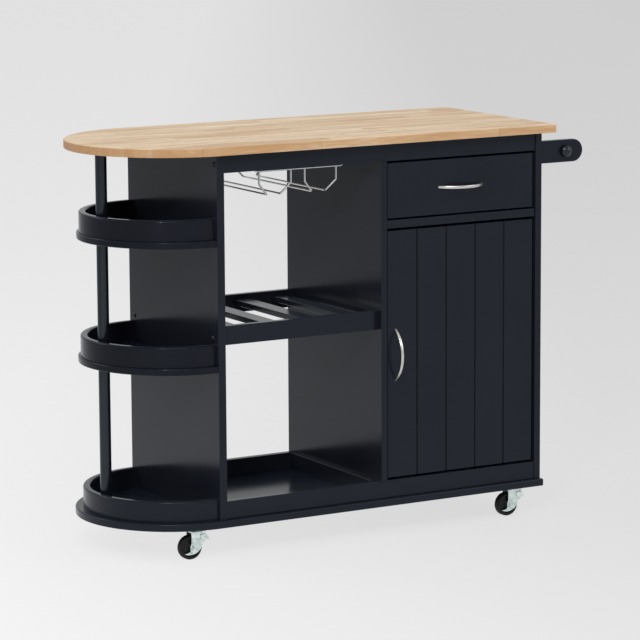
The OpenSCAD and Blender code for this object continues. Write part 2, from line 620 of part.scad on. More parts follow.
module front_left_fork() fork(casters[0]);
module front_left_axle() axle(casters[0]);
module front_left_wheel() wheel(casters[0]);
module front_left_brake() brake(casters[0]);
module front_right_fork() fork(casters[1]);
module front_right_axle() axle(casters[1]);
module front_right_wheel() wheel(casters[1]);
module front_right_brake() brake(casters[1]);
module rear_left_fork() fork(casters[2]);
module rear_left_axle() axle(casters[2]);
module rear_left_wheel() wheel(casters[2]);
module rear_right_fork() fork(casters[3]);
module rear_right_axle() axle(casters[3]);
module rear_right_wheel() wheel(casters[3]);

worktop();
base_board();
left_side_panel();
divider_panel();
right_side_panel();
front_top_rail();
rear_top_rail();
front_bottom_rail();
rear_bottom_rail();
drawer_door_rail();
bay_side_rails();
cabinet_back_panel();
cabinet_shelf();
shelf_pins();
bottle_shelf_front_rail();
bottle_shelf_rear_rail();
bottle_shelf_slats();
upper_tray_board();
upper_tray_rim();
middle_tray_board();
middle_tray_rim();
base_tray_rim();
upper_post();
middle_post();
lower_post();
stemware_rack();
rack_screws();
towel_brackets();
towel_rod();
panel_bolts();
drawer_runner_channels();
drawer_runner_cages();
drawer_runner_slides();
drawer_front();
drawer_sides();
drawer_back();
drawer_bottom();
drawer_handle();
drawer_handle_screws();
door_panel();
door_handle();
door_handle_screws();
door_hinge_cups();
door_hinge_arms();
caster_plates();
caster_screws();
front_left_fork();
front_left_axle();
front_left_wheel();
front_left_brake();
front_right_fork();
front_right_axle();
front_right_wheel();
front_right_brake();
rear_left_fork();
rear_left_axle();
rear_left_wheel();
rear_right_fork();
rear_right_axle();
rear_right_wheel();
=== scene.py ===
import bpy, bmesh, json, math
from mathutils import Vector, Matrix


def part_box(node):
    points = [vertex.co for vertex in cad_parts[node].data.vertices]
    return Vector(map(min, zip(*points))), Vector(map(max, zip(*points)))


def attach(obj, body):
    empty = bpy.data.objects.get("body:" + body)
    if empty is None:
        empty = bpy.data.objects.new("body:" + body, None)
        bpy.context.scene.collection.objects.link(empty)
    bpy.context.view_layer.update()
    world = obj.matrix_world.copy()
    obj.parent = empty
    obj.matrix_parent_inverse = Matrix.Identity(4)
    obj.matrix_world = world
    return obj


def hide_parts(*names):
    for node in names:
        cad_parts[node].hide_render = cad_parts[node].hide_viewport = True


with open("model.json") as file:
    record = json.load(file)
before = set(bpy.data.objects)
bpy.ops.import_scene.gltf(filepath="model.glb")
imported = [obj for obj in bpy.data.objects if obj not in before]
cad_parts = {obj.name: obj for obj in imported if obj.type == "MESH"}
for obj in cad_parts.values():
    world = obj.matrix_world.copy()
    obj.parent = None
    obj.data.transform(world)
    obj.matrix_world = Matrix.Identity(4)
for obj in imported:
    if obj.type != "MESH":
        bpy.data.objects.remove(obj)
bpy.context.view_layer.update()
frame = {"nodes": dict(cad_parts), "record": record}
NODES = frame["nodes"]
BODY = {n: b for b, ns in frame["record"]["behaviour"]["bodies"].items() for n in ns}
SLOT = {s["node"]: s["material_slot"] for s in frame["record"]["subparts"]}
scene = bpy.context.scene
MM = 0.001


# ---------------------------------------------------------------- materials
class Tree:
    """Small helper that adds shader nodes and links them."""

    def __init__(self, name):
        self.mat = bpy.data.materials.new(name)
        self.mat.use_nodes = True
        self.t = self.mat.node_tree
        self.bsdf = self.t.nodes["Principled BSDF"]
        self.out = self.t.nodes["Material Output"]
        self.obj = self.node("ShaderNodeTexCoord").outputs["Object"]

    def node(self, kind, props=None, **sockets):
        n = self.t.nodes.new(kind)
        for k, v in (props or {}).items():
            setattr(n, k, v)
        for k, v in sockets.items():
            self.put(n.inputs[k.replace("_", " ")], v)
        return n

    def put(self, socket, v):
        if isinstance(v, bpy.types.NodeSocket):
            self.t.links.new(v, socket)
        else:
            socket.default_value = v

    def math(self, op, a, b=None, c=None, clamp=False):
        n = self.node("ShaderNodeMath", {"operation": op, "use_clamp": clamp})
        for i, v in enumerate((a, b, c)):
            if v is not None:
                self.put(n.inputs[i], v)
        return n.outputs[0]

    def sep(self, v):
        n = self.node("ShaderNodeSeparateXYZ")
        self.put(n.inputs[0], v)
        return n.outputs[0], n.outputs[1], n.outputs[2]

    def comb(self, x, y, z):
        n = self.node("ShaderNodeCombineXYZ")
        for i, v in enumerate((x, y, z)):
            self.put(n.inputs[i], v)
        return n.outputs[0]

    def noise(self, vec, scale, detail=2.0, rough=0.5, distort=0.0):
        n = self.node("ShaderNodeTexNoise", {"noise_dimensions": "3D"})
        self.put(n.inputs["Vector"], vec)
        n.inputs["Scale"].default_value = scale
        n.inputs["Detail"].default_value = detail
        n.inputs["Roughness"].default_value = rough
        n.inputs["Distortion"].default_value = distort
        return n.outputs["Fac"]

    def stretch(self, scale, offset=None):
        x, y, z = self.sep(self.obj)
        v = [self.math("MULTIPLY", c, s) for c, s in zip((x, y, z), scale)]
        if offset is not None:
            v = [self.math("ADD", c, o) for c, o in zip(v, offset)]
        return self.comb(*v)

    def remap(self, v, a, b, lo, hi):
        n = self.node("ShaderNodeMapRange")
        self.put(n.inputs["Value"], v)
        for k, x in (("From Min", a), ("From Max", b), ("To Min", lo), ("To Max", hi)):
            self.put(n.inputs[k], x)
        return n.outputs[0]

    def mix(self, f, a, b, blend="MIX"):
        n = self.node("ShaderNodeMix", {"data_type": "RGBA", "blend_type": blend})
        self.put(n.inputs[0], f)
        for i, v in ((6, a), (7, b)):
            self.put(n.inputs[i], v if isinstance(v, bpy.types.NodeSocket) else (*v, 1.0))
        return n.outputs[2]

    def ramp(self, f, stops, interp="LINEAR"):
        n = self.node("ShaderNodeValToRGB")
        self.put(n.inputs[0], f)
        r = n.color_ramp
        r.interpolation = interp
        while len(r.elements) < len(stops):
            r.elements.new(0.5)
        for e, (p, c) in zip(r.elements, stops):
            e.position = p
            e.color = (*c, 1.0)
        return n.outputs[0]

    def bump(self, height, strength, distance, normal=None):
        n = self.node("ShaderNodeBump")
        n.inputs["Strength"].default_value = strength
        n.inputs["Distance"].default_value = distance
        self.put(n.inputs["Height"], height)
        if normal is not None:
            self.put(n.inputs["Normal"], normal)
        return n.outputs[0]

    def surface(self, color=None, rough=None, normal=None, **const):
        if color is not None:
            self.put(self.bsdf.inputs["Base Color"], color)
        if rough is not None:
            self.put(self.bsdf.inputs["Roughness"], rough)
        if normal is not None:
            self.put(self.bsdf.inputs["Normal"], normal)
        for k, v in const.items():
            self.bsdf.inputs[k.replace("_", " ")].default_value = v
        return self.mat


def painted_highlight_attribute(t):
    return t.node("ShaderNodeAttribute", {"attribute_name": "painted_edge_highlight"}).outputs["Fac"]


def lacquer(name, dark, light, rough=(0.15, 0.21), peel=1.0, gloss=0.15):
    """Near-black sprayed lacquer: faint orange peel, cloudy gloss, a painted highlight on the marked edges and painted
    shade in the marked grooves.
    """
    t = Tree(name)
    cloud = t.noise(t.obj, 5.0, 4.0, 0.6)
    fine = t.noise(t.obj, 60.0, 3.0, 0.6)
    base = t.mix(t.remap(cloud, 0.3, 0.7, 0.0, 1.0), dark, light)
    # painted highlight: marked edge faces are mixed towards a lighter grey, broken up by fine noise
    edge_highlight = t.math("MULTIPLY", painted_highlight_attribute(t), t.remap(fine, 0.35, 0.7, 0.25, 1.0))
    base = t.mix(edge_highlight, base, tuple(2.2 * c + 0.006 for c in light))
    # painted shade: faces marked in the door's V-grooves are mixed towards near-black, and their roughness is raised
    painted_groove_shade = t.node("ShaderNodeAttribute", {"attribute_name": "painted_groove_shade"}).outputs["Fac"]
    base = t.mix(t.math("MULTIPLY", painted_groove_shade, t.remap(fine, 0.3, 0.7, 0.75, 0.95)), base, (0.0012, 0.0013, 0.0017))
    r = t.math("ADD", t.remap(cloud, 0.3, 0.7, rough[0], rough[1]), t.remap(fine, 0.3, 0.7, -0.015, 0.015))
    r = t.math("MULTIPLY_ADD", painted_groove_shade, 0.4, r)
    n = t.bump(t.noise(t.obj, 26.0, 2.0, 0.5), 0.05 * peel, 0.0006)
    n = t.bump(t.noise(t.obj, 420.0, 2.0, 0.5), 0.05 * peel, 0.0001, n)
    return t.surface(base, r, n, Specular_IOR_Level=gloss, Specular_Tint=(0.74, 0.87, 1.0, 1.0), Sheen_Weight=0.035, Sheen_Roughness=0.35, Sheen_Tint=(0.12, 0.42, 1.0, 1.0))


def staves(name, width=0.0437, length=0.46, tint=(1.0, 1.0, 1.0)):
    """Pale clear-coated wood glued up from staves along X, with end grain where the wood is cut across."""
    t = Tree(name)
    x, y, z = t.sep(t.obj)
    row_at = t.math("MULTIPLY_ADD", y, 1 / width, 40.32)
    row = t.math("FLOOR", row_at)
    shift = t.node("ShaderNodeTexWhiteNoise", {"noise_dimensions": "1D"}, W=row).outputs["Value"]
    piece_at = t.math("MULTIPLY_ADD", x, 1 / length, t.math("MULTIPLY_ADD", shift, 7.7, 30.0))
    piece = t.math("FLOOR", piece_at)
    key = t.comb(row, piece, 0.0)
    rnd = t.node("ShaderNodeTexWhiteNoise", {"noise_dimensions": "2D"})
    t.put(rnd.inputs["Vector"], key)
    r1, r2, r3 = t.sep(rnd.outputs["Color"])
    tone = t.ramp(r1, [(0.0, (0.62, 0.41, 0.225)), (0.22, (0.78, 0.575, 0.35)), (0.5, (0.88, 0.70, 0.47)), (0.78, (0.93, 0.77, 0.55)), (1.0, (0.70, 0.48, 0.275))])
    # long growth bands, wandering along each stave
    wander = t.noise(t.comb(t.math("MULTIPLY_ADD", x, 2.2, t.math("MULTIPLY", r2, 40.0)), t.math("MULTIPLY_ADD", y, 6.0, r3), t.math("MULTIPLY", z, 6.0)), 1.0, 2.0, 0.5)
    bands_at = t.math("MULTIPLY_ADD", t.math("ADD", y, t.math("MULTIPLY", z, 0.7)), 95.0, t.math("MULTIPLY", wander, 16.0))
    bands = t.math("MULTIPLY_ADD", t.math("SINE", t.math("MULTIPLY", bands_at, 6.283)), 0.5, 0.5)
    mottle = t.noise(t.comb(t.math("MULTIPLY_ADD", x, 9.0, t.math("MULTIPLY", r3, 60.0)), t.math("MULTIPLY", y, 90.0), t.math("MULTIPLY", z, 90.0)), 1.0, 4.0, 0.6)
    fibre = t.noise(t.comb(t.math("MULTIPLY_ADD", x, 26.0, t.math("MULTIPLY", r2, 90.0)), t.math("MULTIPLY", y, 900.0), t.math("MULTIPLY", z, 900.0)), 1.0, 3.0, 0.6)
    pores = t.noise(t.comb(t.math("MULTIPLY_ADD", x, 75.0, t.math("MULTIPLY", r3, 33.0)), t.math("MULTIPLY", y, 1500.0), t.math("MULTIPLY", z, 1500.0)), 1.0, 1.0, 0.5)
    pore = t.remap(pores, 0.66, 0.74, 0.0, 1.0)
    figure = t.noise(t.comb(t.math("MULTIPLY_ADD", x, 3.2, t.math("MULTIPLY", r2, 70.0)), t.math("MULTIPLY_ADD", y, 46.0, t.math("MULTIPLY", r1, 50.0)), t.math("MULTIPLY", z, 30.0)), 1.0, 3.0, 0.55, 0.3)
    tone = t.mix(t.remap(figure, 0.5, 0.64, 0.0, 0.85), tone, (0.55, 0.33, 0.155))
    tone = t.mix(t.remap(figure, 0.44, 0.33, 0.0, 0.75), tone, (0.98, 0.87, 0.68))
    c = t.mix(t.math("MULTIPLY", t.remap(bands, 0.35, 1.0, 0.0, 0.45), t.remap(mottle, 0.35, 0.65, 0.25, 1.0)), tone, (0.44, 0.25, 0.115))
    c = t.mix(t.remap(mottle, 0.42, 0.7, 0.0, 0.5), c, (0.84, 0.68, 0.48))
    c = t.mix(t.remap(fibre, 0.38, 0.68, 0.0, 0.6), c, (0.42, 0.245, 0.12))
    c = t.mix(t.math("MULTIPLY", pore, 0.42), c, (0.28, 0.16, 0.085))
    # glue lines between staves and at their ends
    fy = t.math("ABSOLUTE", t.math("SUBTRACT", t.math("FRACT", row_at), 0.5))
    fx = t.math("ABSOLUTE", t.math("SUBTRACT", t.math("FRACT", piece_at), 0.5))
    line = t.math("MAXIMUM", t.remap(fy, 0.4905, 0.4975, 0.0, 0.55), t.remap(fx, 0.4988, 0.4996, 0.0, 0.6))
    # cut across: end grain, warmer and darker; upright faces also get painted shade
    nx, ny, nz = t.sep(t.node("ShaderNodeNewGeometry").outputs["Normal"])
    cross = t.remap(t.math("ABSOLUTE", nx), 0.35, 0.97, 0.0, 1.0)
    side = t.remap(t.math("ABSOLUTE", nz), 0.9, 0.3, 0.0, 1.0)
    rings = t.noise(t.comb(t.math("MULTIPLY", x, 40.0), t.math("MULTIPLY_ADD", y, 420.0, t.math("MULTIPLY", r1, 80.0)), t.math("MULTIPLY", z, 260.0)), 1.0, 3.0, 0.6, 0.6)
    end = t.mix(t.remap(rings, 0.3, 0.7, 0.0, 1.0), (0.33, 0.165, 0.07), (0.52, 0.30, 0.14))
    c = t.mix(line, c, (0.28, 0.155, 0.07))
    # painted shade: upright faces, the board's edges, are mixed towards a dark warm brown
    c = t.mix(t.math("MULTIPLY", side, 0.6), c, (0.40, 0.205, 0.08))
    c = t.mix(t.math("MULTIPLY", cross, 0.8), c, end)
    if tint != (1.0, 1.0, 1.0):
        c = t.mix(1.0, c, tint, "MULTIPLY")
    r = t.math("ADD", t.remap(mottle, 0.3, 0.7, 0.4, 0.5), t.math("MULTIPLY", pore, 0.12))
    h = t.math("SUBTRACT", t.math("MULTIPLY", fibre, 0.5), t.math("MULTIPLY", t.math("MAXIMUM", pore, line), 0.8))
    return t.surface(c, r, t.bump(h, 0.35, 0.00018), Specular_IOR_Level=0.3)


def plain_wood(name, along="Y"):
    """Pale drawer-box wood with its grain along one axis."""
    t = Tree(name)
    s = {"X": (5.0, 120.0, 120.0), "Y": (120.0, 5.0, 120.0)}[along]
    grain = t.noise(t.stretch(s), 1.0, 4.0, 0.6, 0.4)
    fibre = t.noise(t.stretch(tuple(7 * v for v in s)), 1.0, 2.0, 0.6)
    c = t.ramp(grain, [(0.25, (0.46, 0.30, 0.165)), (0.5, (0.60, 0.425, 0.255)), (0.75, (0.69, 0.51, 0.32))])
    c = t.mix(t.remap(fibre, 0.4, 0.75, 0.0, 0.4), c, (0.40, 0.25, 0.13))
    return t.surface(c, t.remap(fibre, 0.3, 0.7, 0.5, 0.62), t.bump(fibre, 0.3, 0.0002), Specular_IOR_Level=0.4)


def metal(name, dark, light, rough, grain=(60.0, 60.0, 60.0), bump=0.08, fine=600.0):
    """Plated or brushed steel: mottled plating colour, drawn or tumbled micro texture."""
    t = Tree(name)
    m = t.noise(t.obj, 90.0, 3.0, 0.6)
    lines = t.noise(t.stretch(grain), 1.0, 3.0, 0.6)
    c = t.mix(t.remap(m, 0.3, 0.7, 0.0, 1.0), dark, light)
    r = t.math("ADD", t.remap(lines, 0.3, 0.7, rough[0], rough[1]), t.remap(m, 0.3, 0.7, -0.02, 0.02))
    n = t.bump(lines, bump, 0.00015)
    n = t.bump(t.noise(t.obj, fine, 1.0), bump * 0.5, 0.00008, n)
    return t.surface(c, r, n, Metallic=1.0)


def moulded(name, dark, light, rough, grit, bump=0.25):
    """Moulded rubber or plastic: slight scuffs and a fine grit."""
    t = Tree(name)
    m = t.noise(t.obj, 45.0, 4.0, 0.65)
    g = t.noise(t.obj, grit, 2.0, 0.5)
    c = t.mix(t.remap(m, 0.35, 0.7, 0.0, 1.0), dark, light)
    return t.surface(c, t.remap(m, 0.3, 0.7, rough[0], rough[1]), t.bump(g, bump, 0.0001), Specular_IOR_Level=0.22)


MAT = {
    "black_lacquer": lacquer("black_lacquer_look", (0.0086, 0.0098, 0.0142), (0.0110, 0.0125, 0.0178), gloss=0.18),
    "gloss_lacquer": lacquer("gloss_lacquer_look", (0.0045, 0.0055, 0.0085), (0.0060, 0.0074, 0.0108), (0.12, 0.16), 0.6, 0.5),
    # painted shade: a darker copy of the black lacquer for the upper and middle trays, which carry the same lacquer
    "shaded_tray_lacquer": lacquer("shaded_tray_lacquer_look", (0.0066, 0.0071, 0.0108), (0.0086, 0.0094, 0.0140), (0.11, 0.15), 0.8, 0.13),
    "inner_lacquer": lacquer("inner_lacquer_look", (0.0080, 0.0090, 0.0126), (0.0100, 0.0112, 0.0154), (0.22, 0.3)),
    "light_wood": staves("light_wood_look"),
    "drawer_wood": plain_wood("drawer_wood_look", "Y"),
    "drawer_wood_x": plain_wood("drawer_wood_x_look", "X"),
    "chrome_wire": metal("chrome_wire_look", (0.48, 0.49, 0.51), (0.62, 0.63, 0.65), (0.05, 0.09), (200.0, 200.0, 200.0), 0.03, 900.0),
    "black_steel": metal("black_steel_look", (0.03, 0.031, 0.034), (0.05, 0.052, 0.056), (0.3, 0.4), (300.0, 300.0, 300.0), 0.1),
    "satin_nickel": metal("satin_nickel_look", (0.62, 0.60, 0.57), (0.72, 0.705, 0.68), (0.24, 0.34), (900.0, 900.0, 60.0), 0.12),
    "satin_nickel_x": metal("satin_nickel_x_look", (0.62, 0.60, 0.57), (0.72, 0.705, 0.68), (0.24, 0.34), (60.0, 900.0, 900.0), 0.12),
    "zinc_steel": metal("zinc_steel_look", (0.42, 0.53, 0.52), (0.92, 0.98, 0.95), (0.18, 0.34), (160.0, 160.0, 160.0), 0.14),
    "axle_steel": metal("axle_steel_look", (0.30, 0.39, 0.39), (0.52, 0.60, 0.59), (0.24, 0.36), (160.0, 160.0, 160.0), 0.12),
    "plate_steel": metal("plate_steel_look", (0.36, 0.46, 0.46), (0.55, 0.62, 0.61), (0.3, 0.42), (160.0, 160.0, 160.0), 0.12),
    "black_rubber": moulded("black_rubber_look", (0.0040, 0.0040, 0.0048), (0.0090, 0.0090, 0.0102), (0.46, 0.62), 900.0),
    "black_hub": moulded("black_hub_look", (0.0045, 0.0046, 0.0052), (0.0085, 0.0087, 0.0094), (0.26, 0.38), 500.0, 0.12),
}


# ---------------------------------------------------------------- mesh helpers
def finish_piece(name, bm, nodes, mat, smooth=35.0, body=None, mats=None):
    """Turns a bmesh into an object that stands for the CAD nodes and rides with their body."""
    nodes = [nodes] if isinstance(nodes, str) else list(nodes)
    bmesh.ops.recalc_face_normals(bm, faces=bm.faces)
    me = bpy.data.meshes.new(name)
    bm.to_mesh(me)
    bm.free()
    for m in mats or [mat]:
        me.materials.append(MAT[m])
    for p in me.polygons:
        p.use_smooth = True
    me.set_sharp_from_angle(angle=math.radians(smooth))
    o = bpy.data.objects.new(name, me)
    scene.collection.objects.link(o)
    w = o.modifiers.new("flat_faces", "WEIGHTED_NORMAL")
    w.keep_sharp = True
    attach(o, body or BODY[nodes[0]])
    if nodes:
        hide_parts(*nodes)
    return o


# marks faces that get the painted edge highlight in the lacquer
def mark_painted_highlight(bm, faces):
    layer = bm.faces.layers.float.get("painted_edge_highlight") or bm.faces.layers.float.new("painted_edge_highlight")
    for f in faces:
        if f.is_valid:
            f[layer] = 1.0


def from_cad(node, width=0.9, segments=2, mat=None, angle=30.0, smooth=35.0, groove=False):
    """The CAD node's own shape with its sharp edges eased."""
    bm = bmesh.new()
    bm.from_mesh(NODES[node].data)
    bmesh.ops.remove_doubles(bm, verts=bm.verts, dist=2e-6)
    bmesh.ops.dissolve_limit(bm, angle_limit=math.radians(0.3), verts=bm.verts, edges=bm.edges)
    sharp = [e for e in bm.edges if e.is_manifold and e.calc_face_angle(0) > math.radians(angle)]
    made = bmesh.ops.bevel(bm, geom=sharp, offset=width * MM, offset_type="OFFSET", segments=segments, profile=0.5, affect="EDGES", clamp_overlap=True)
    # the eased edges get the painted highlight
    mark_painted_highlight(bm, made["faces"])
    if groove:
        # the door's V-groove faces get painted shade and lose the painted edge highlight
        bm.normal_update()
        highlight_layer = bm.faces.layers.float["painted_edge_highlight"]
        layer = bm.faces.layers.float.new("painted_groove_shade")
        for f in bm.faces:
            if abs(f.normal.z) < 0.1 and 0.3 < abs(f.normal.x) < 0.95 and f.normal.y < -0.2 and abs(f.calc_center_median().x - 0.265) < 0.18:
                f[layer] = 1.0
                f[highlight_layer] = 0.0
    return finish_piece(node + "_look", bm, node, mat or SLOT[node], smooth)


def ring(bm, pts):
    return [bm.verts.new(p) for p in pts]


def skin(bm, a, b, closed=True):
    n = len(a)
    return [bm.faces.new((a[i], a[(i + 1) % n], b[(i + 1) % n], b[i])) for i in range(n if closed else n - 1)]


def round_end_outline(cx, r, x1, corner=0.0, n=96):
    """Counter-clockwise outline: half circle on the -X side of cx, straight to x1."""
    pts = []
    if corner > 0:
        for sx, sy, a0 in ((x1 - corner, -r + corner, -90), (x1 - corner, r - corner, 0)):
            for k in range(5):
                a = math.radians(a0 + 90 * k / 4)
                pts.append((sx + corner * math.cos(a), sy + corner * math.sin(a)))
    else:
        pts += [(x1, -r), (x1, r)]
    for k in range(n + 1):
        a = math.radians(90 + 180 * k / n)
        pts.append((cx + r * math.cos(a), r * math.sin(a)))
    return pts


def inset(pts, d):
    """Outline moved inwards by d, with mitred corners (outline counter-clockwise)."""
    out = []
    n = len(pts)
    for i in range(n):
        p0, p1, p2 = Vector(pts[i - 1]), Vector(pts[i]), Vector(pts[(i + 1) % n])
        a, b = (p1 - p0).normalized(), (p2 - p1).normalized()
        na, nb = Vector((-a.y, a.x)), Vector((-b.y, b.x))
        m = (na + nb).normalized()
        k = max(0.3, m.dot(na))
        q = p1 + m * (d / k)
        out.append((q.x, q.y))
    return out


def slab(outline, z0, z1, top_r, low_r, steps=4):
    """A board with this outline, its upper and lower edges rounded."""
    bm = bmesh.new()
    rows = []
    edge = []
    for k in range(steps + 1):
        a = math.radians(90 * k / steps)
        rows.append((low_r * (1 - math.sin(a)), z0 + low_r * (1 - math.cos(a)), True))
    for k in range(steps + 1):
        a = math.radians(90 * k / steps)
        rows.append((top_r * (1 - math.cos(a)), z1 - top_r * (1 - math.sin(a)), True))
    rings = [ring(bm, [(x, y, z) for x, y in inset(outline, d)]) for d, z, _ in rows]
    for i in range(len(rings) - 1):
        f = skin(bm, rings[i], rings[i + 1])
        if i != steps:
            edge += f
    bm.faces.new(list(reversed(rings[0])))
    bm.faces.new(rings[-1])
    # the rounded edges get the painted highlight
    mark_painted_highlight(bm, edge)
    return bm


def sweep(bm, frames, section, cap=True):
    """frames: (origin, u, v) list; section: closed list of (a, b) placed at origin + a*u + b*v."""
    rings = [ring(bm, [o + u * a + v * b for a, b in sec]) for (o, u, v), sec in zip(frames, section)]
    faces = []
    for p, q in zip(rings, rings[1:]):
        faces += skin(bm, p, q)
    if cap:
        bm.faces.new(list(reversed(rings[0])))
        bm.faces.new(rings[-1])
    return rings, faces


def rim(node, cx, r, t, x1, z0, h, top=0.0042, low=0.0006):
    """Bent strip standing on a board: half ring with straight ends, its upper corners well rounded."""
    sec = []
    for a0, (sx, sz, q) in ((180, (-t + low, low, low)), (270, (-low, low, low)), (0, (-top, h - top, top)), (90, (-t + top, h - top, top))):
        for k in range(7):
            a = math.radians(a0 + 90 * k / 6)
            sec.append((sx + q * math.cos(a), sz + q * math.sin(a)))
    frames = []
    up = Vector((0, 0, 1))
    for s in range(4):
        frames.append((Vector((x1 + (cx - x1) * s / 4, r, z0)), Vector((0, 1, 0)), up))
    for k in range(97):
        a = math.radians(90 + 180 * k / 96)
        d = Vector((math.cos(a), math.sin(a), 0))
        frames.append((Vector((cx, 0, z0)) + d * r, d, up))
    for s in range(1, 5):
        frames.append((Vector((cx + (x1 - cx) * s / 4, -r, z0)), Vector((0, -1, 0)), up))
    bm = bmesh.new()
    rings, faces = sweep(bm, frames, [sec] * len(frames))
    m = len(sec)
    # painted highlight along the rim's rounded top corners
    mark_painted_highlight(bm, [f for i, f in enumerate(faces) if 15 <= i % m <= 18 or 22 <= i % m <= 24])
    # the upper and middle rims take the darker lacquer copy, painted shade; the base rim keeps the black lacquer
    return finish_piece(node + "_look", bm, node, "black_lacquer" if node == "base_tray_rim" else "shaded_tray_lacquer", 40.0)


def lathe(bm, profile, n, origin, axis="Z", cap=True):
    """profile: (radius, along) pairs turned about the axis through origin."""
    rings = []
    for r, h in profile:
        pts = []
        for k in range(n):
            a = 2 * math.pi * k / n
            c, s = r * math.cos(a), r * math.sin(a)
            p = {"Z": (c, s, h), "Y": (s, h, c), "X": (h, c, s)}[axis]
            pts.append(Vector(origin) + Vector(p))
        rings.append(ring(bm, pts))
    faces = []
    for p, q in zip(rings, rings[1:]):
        faces.append(skin(bm, p, q))
    if cap:
        bm.faces.new(list(reversed(rings[0])))
        bm.faces.new(rings[-1])
    return rings, faces


def rounded_path(p, q, n=8):
    """Polyline with its inner corners turned into arcs of radius q."""
    p = [Vector(v) for v in p]
    out = [p[0]]
    for i in range(1, len(p) - 1):
        a, b = (p[i - 1] - p[i]).normalized(), (p[i + 1] - p[i]).normalized()
        half = a.angle(b) / 2
        c = p[i] + (a + b).normalized() * q / math.sin(half)
        u = p[i] + a * q / math.tan(half) - c
        w = (p[i] - c).normalized() * q
        v = (w - u * (w.dot(u) / (q * q))).normalized() * q
        turn = math.pi - 2 * half
        out += [c + u * math.cos(turn * k / n) + v * math.sin(turn * k / n) for k in range(n + 1)]
    out.append(p[-1])
    return out


def tube(bm, path, r, m=18, dome=True):
    """Round wire along a path, its ends softly domed."""
    t = []
    for i in range(len(path)):
        t.append((path[min(i + 1, len(path) - 1)] - path[max(i - 1, 0)]).normalized())
    u = t[0].orthogonal().normalized()
    frames, secs = [], []

    def circle(k):
        return [(k * r * math.cos(2 * math.pi * j / m), k * r * math.sin(2 * math.pi * j / m)) for j in range(m)]

    for i, p in enumerate(path):
        u = (u - t[i] * u.dot(t[i])).normalized()
        v = t[i].cross(u)
        if i == 0 and dome:
            for a in (75, 50, 25):
                k = math.cos(math.radians(a))
                frames.append((p + t[i] * 0.35 * r * (1 - math.sin(math.radians(a))) * 0 - t[i] * 0.0 + t[i] * (0.4 * r * (math.sin(math.radians(a)) * -1 + 1)) , u, v))
                secs.append(circle(k))
            frames.append((p + t[i] * 0.4 * r, u, v))
            secs.append(circle(1.0))
            continue
        if i == len(path) - 1 and dome:
            frames.append((p - t[i] * 0.4 * r, u, v))
            secs.append(circle(1.0))
            for a in (25, 50, 75):
                frames.append((p - t[i] * 0.4 * r * (1 - math.sin(math.radians(a))), u, v))
                secs.append(circle(math.cos(math.radians(a))))
            continue
        frames.append((p, u, v))
        secs.append(circle(1.0))
    sweep(bm, frames, secs)


# ---------------------------------------------------------------- wooden boards
def bx(n):
    lo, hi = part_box(n)
    return lo, hi


lo, hi = bx("worktop")
top_r = (hi.y - lo.y) / 2
finish_piece("worktop_look", slab(round_end_outline(lo.x + top_r, top_r, hi.x, 0.0035, 128), lo.z, hi.z, 0.0026, 0.0016, 5), "worktop", "light_wood", 40.0)

lo, hi = bx("base_board")
r = (hi.y - lo.y) / 2
finish_piece("base_board_look", slab(round_end_outline(lo.x + r, r, hi.x, 0.003, 112), lo.z, hi.z, 0.0032, 0.002, 5), "base_board", "black_lacquer", 40.0)

for n in ("upper_tray_board", "middle_tray_board"):
    lo, hi = bx(n)
    r = (hi.y - lo.y) / 2
    # the tray boards take the darker lacquer copy, painted shade
    finish_piece(n + "_look", slab(round_end_outline(lo.x + r, r, hi.x, 0.0, 112), lo.z, hi.z, 0.0032, 0.0024, 5), n, "shaded_tray_lacquer", 40.0)

for n in ("upper_tray_rim", "middle_tray_rim", "base_tray_rim"):
    lo, hi = bx(n)
    r = (hi.y - lo.y) / 2
    rim(n, lo.x + r, r, 0.016, hi.x, lo.z, hi.z - lo.z)

for n in ("upper_post", "middle_post", "lower_post"):
    lo, hi = bx(n)
    r = (hi.x - lo.x) / 2
    bm = bmesh.new()
    prof = [(r - 0.0008, 0), (r, 0.0008), (r, (hi.z - lo.z) * 0.5), (r, hi.z - lo.z - 0.0008), (r - 0.0008, hi.z - lo.z)]
    lathe(bm, prof, 72, ((lo.x + hi.x) / 2, (lo.y + hi.y) / 2, lo.z))
    finish_piece(n + "_look", bm, n, "gloss_lacquer", 40.0)

for n in ("left_side_panel", "divider_panel", "right_side_panel", "front_top_rail", "rear_top_rail", "front_bottom_rail",
          "rear_bottom_rail", "drawer_door_rail", "bottle_shelf_front_rail", "bottle_shelf_rear_rail"):
    from_cad(n, 1.1, 3)
for n in ("bay_side_rails", "bottle_shelf_slats"):
    from_cad(n, 1.3, 3)
for n in ("cabinet_back_panel", "cabinet_shelf"):
    from_cad(n, 0.7, 2, "inner_lacquer")
from_cad("drawer_front", 1.2, 3)
from_cad("door_panel", 0.9, 3, groove=True)
from_cad("towel_brackets", 1.6, 3)
from_cad("drawer_sides", 1.0, 2, "drawer_wood")
from_cad("drawer_back", 1.0, 2, "drawer_wood_x")
from_cad("drawer_bottom", 0.3, 1, "drawer_wood")

# towel rod, turned, with softly domed ends
lo, hi = bx("towel_rod")
r = (hi.x - lo.x) / 2
half = (hi.y - lo.y) / 2
sag, neck = 0.0052, 0.0008
ball = ((r - neck) ** 2 + sag ** 2) / (2 * sag)
reach = math.asin((r - neck) / ball)
cap = [(max(ball * math.sin(reach * k / 9), 0.0002), half - ball * (1 - math.cos(reach * k / 9))) for k in range(10)]
cap += [(r - neck * (1 - math.sin(math.radians(q))), half - sag - neck * (1 - math.cos(math.radians(q)))) for q in (30, 60, 90)]
prof = [(q, -h) for q, h in cap] + [(r, 0.0)] + list(reversed(cap))
bm = bmesh.new()
lathe(bm, prof, 64, ((lo.x + hi.x) / 2, 0, (lo.z + hi.z) / 2), "Y")
finish_piece("towel_rod_look", bm, "towel_rod", "gloss_lacquer", 40.0)

